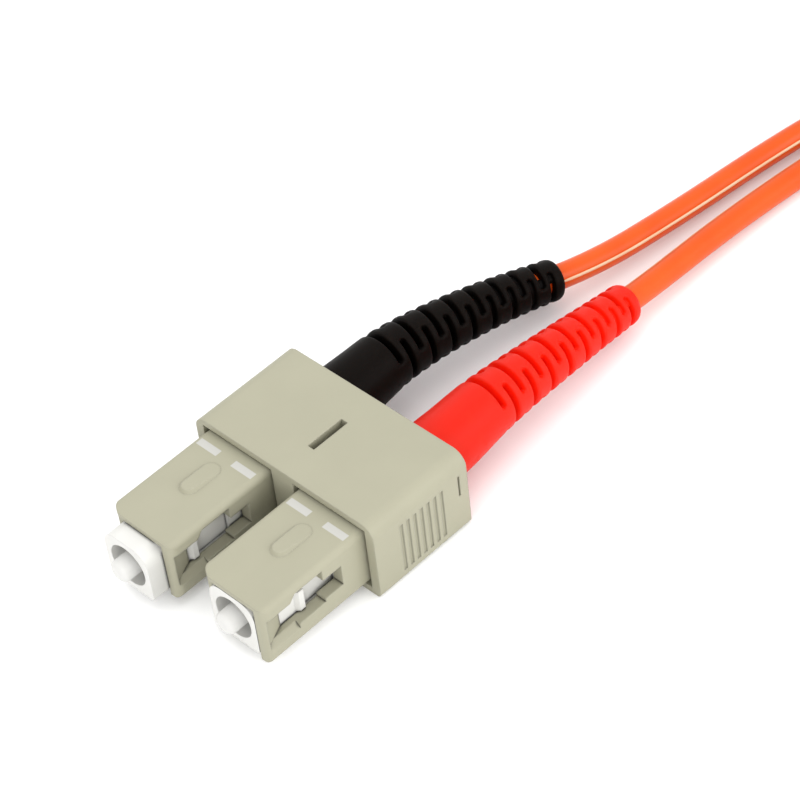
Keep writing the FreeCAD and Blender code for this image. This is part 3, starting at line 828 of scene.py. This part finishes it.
def hank_strap():
    """A flat strap round the hank: a thin oblong with bevelled edges, swept along its line."""
    line, along, outward = strap_line()
    sideways = np.cross(along, outward)
    half = np.array([STRAP_WIDTH, STRAP_THICKNESS]) / 2
    bevelled = half - STRAP_BEVEL
    quarter = [(bevelled[0], half[1]), (half[0], bevelled[1])]
    oblong = np.array(
        quarter + [(y, -z) for y, z in quarter[::-1]] + [(-y, -z) for y, z in quarter]
        + [(-y, z) for y, z in quarter[::-1]]
    )
    points = line[:, None] + oblong[:, :1] * sideways[:, None] + oblong[:, 1:] * outward[:, None]
    faces = rod_quads(len(line), len(oblong))
    return piece("hank_strap", points, faces, FINISHES["tie_fabric"], sharp=50.0)


# Pieces in place of solids, and the finishes of the solids

for name, plug in PLUGS.items():
    set_in(ferrule(name), "ferrule_" + name, "ferrule_" + name)
    ferrule_spring(name)
    boot_slot = "red_rubber" if plug["side"] < 0 else "black_rubber"
    set_in(boot(name, boot_slot), "boot_" + name, "plug_" + name)
set_in(hank_strap(), "hank_tie", "cable")

for subpart in frame["record"]["subparts"]:
    node = frame["nodes"][subpart["node"]]
    node.data.materials.clear()
    node.data.materials.append(FINISHES[subpart["material_slot"]])


# Lead: each leg with what hangs on it past its near boot

LEG_SOLIDS = {"a": ["lead_a", "lead_c", "cord_hank"], "b": ["lead_b", "lead_d"]}
ALONE_ON = {"a": ["far_clip", "hank_strap"], "b": []}
PLUG_PIECES = [
    "outer_housing", "plug_frame", "ferrule_rod", "boot_sleeve", "ferrule_flange", "ferrule_coil",
    "buffered_fibre", "crimp_body", "crimp_sleeve",
]
for leg, far in LEGS.items():
    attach(legs[leg], "cable")
    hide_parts(*LEG_SOLIDS[leg])
    web = torn_web(leg)
    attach(web, "cable")
    hung = [plug_piece + "_" + far for plug_piece in PLUG_PIECES] + ALONE_ON[leg] + [web.name]
    boot_tip = boot_axis(leg, np.array([BOOT_END]))[0]


# Floor, light and camera

floor_paint = Paint("floor")
x, y = floor_paint.split(floor_paint.place())[:2]
seen = floor_paint.node("ShaderNodeLightPath", output="Is Camera Ray")
in_front = 1 - (x + y * FRONT_SLANT).step(*FRONT_EDGE)
beside_hank = x.between(*HANK_SIDE_X, HANK_SIDE_EDGE) * y.between(*HANK_SIDE_Y, HANK_SIDE_EDGE)
glow = floor_paint.mix(seen * (in_front + beside_hank), (0, 0, 0, 1), (FLOOR_GLOW, FLOOR_GLOW, FLOOR_GLOW, 1))
floor_grey = (FLOOR_GREY, FLOOR_GREY, FLOOR_GREY, 1)
bpy.ops.mesh.primitive_plane_add(size=FLOOR_SIZE, location=FLOOR_PLACE)
floor = bpy.context.object
floor.name = "floor"
floor.data.materials.append(
    floor_paint.done(Base_Color=floor_grey, Roughness=0.8, Emission_Color=glow, Emission_Strength=1.0)
)

world = bpy.data.worlds.new("studio")
bpy.context.scene.world = world
world.use_nodes = True
sky = world.node_tree.nodes["Background"]
sky.inputs["Color"].default_value = (1, 1, 1, 1)
sky.inputs["Strength"].default_value = SKY_LIGHT


def facing(right, up, back, place):
    """The matrix of an object that looks against a back direction, at a place in millimetres."""
    matrix = np.eye(4)
    matrix[:3] = np.stack([right, up, back, np.array(place) * MM], -1)
    return Matrix(matrix.tolist())


def softbox(name, place, target, size, power):
    """A square area light in millimetres that faces a target."""
    light = bpy.data.lights.new(name, "AREA")
    light.size = size * MM
    light.energy = power
    made = bpy.data.objects.new(name, light)
    back = unit(np.array(place, float) - np.array(target, float))
    right = unit(np.cross([0, 0, 1], back))
    made.matrix_world = facing(right, np.cross(back, right), back, place)
    bpy.context.scene.collection.objects.link(made)


softbox("top_light", place=(0, 150, 600), target=(10, 0, 0), size=500, power=0.9)
softbox("side_light", place=(150, -450, 300), target=(10, 0, 0), size=350, power=1.15)
softbox("front_light", place=(-420, -260, 150), target=(-10, 0, 5), size=300, power=0.6)


def camera_matrix(azimuth, elevation, roll, distance, target):
    """The matrix of a camera that looks at a target from one side and height, tipped by a roll."""
    turn, rise, tip = np.radians([azimuth, elevation, roll])
    back = np.array([math.sin(turn) * math.cos(rise), -math.cos(turn) * math.cos(rise), math.sin(rise)])
    level = unit(np.cross([0, 0, 1], back))
    upright = np.cross(back, level)
    right = level * math.cos(tip) + upright * math.sin(tip)
    up = upright * math.cos(tip) - level * math.sin(tip)
    return facing(right, up, back, np.array(target) + back * distance)


lens = bpy.data.cameras.new("camera")
lens.sensor_width = SENSOR_WIDTH
lens.lens = SENSOR_WIDTH * FOCAL_PIXELS / PICTURE_PIXELS
lens.clip_start = 10 * MM
camera = bpy.data.objects.new("camera", lens)
camera.matrix_world = camera_matrix(
    azimuth=-41.15, elevation=44.81, roll=-7.14, distance=278.4, target=(11.60, 1.99, 4.0),
)
bpy.context.scene.collection.objects.link(camera)
bpy.context.scene.camera = camera
bpy.context.scene.view_settings.view_transform = "Standard"
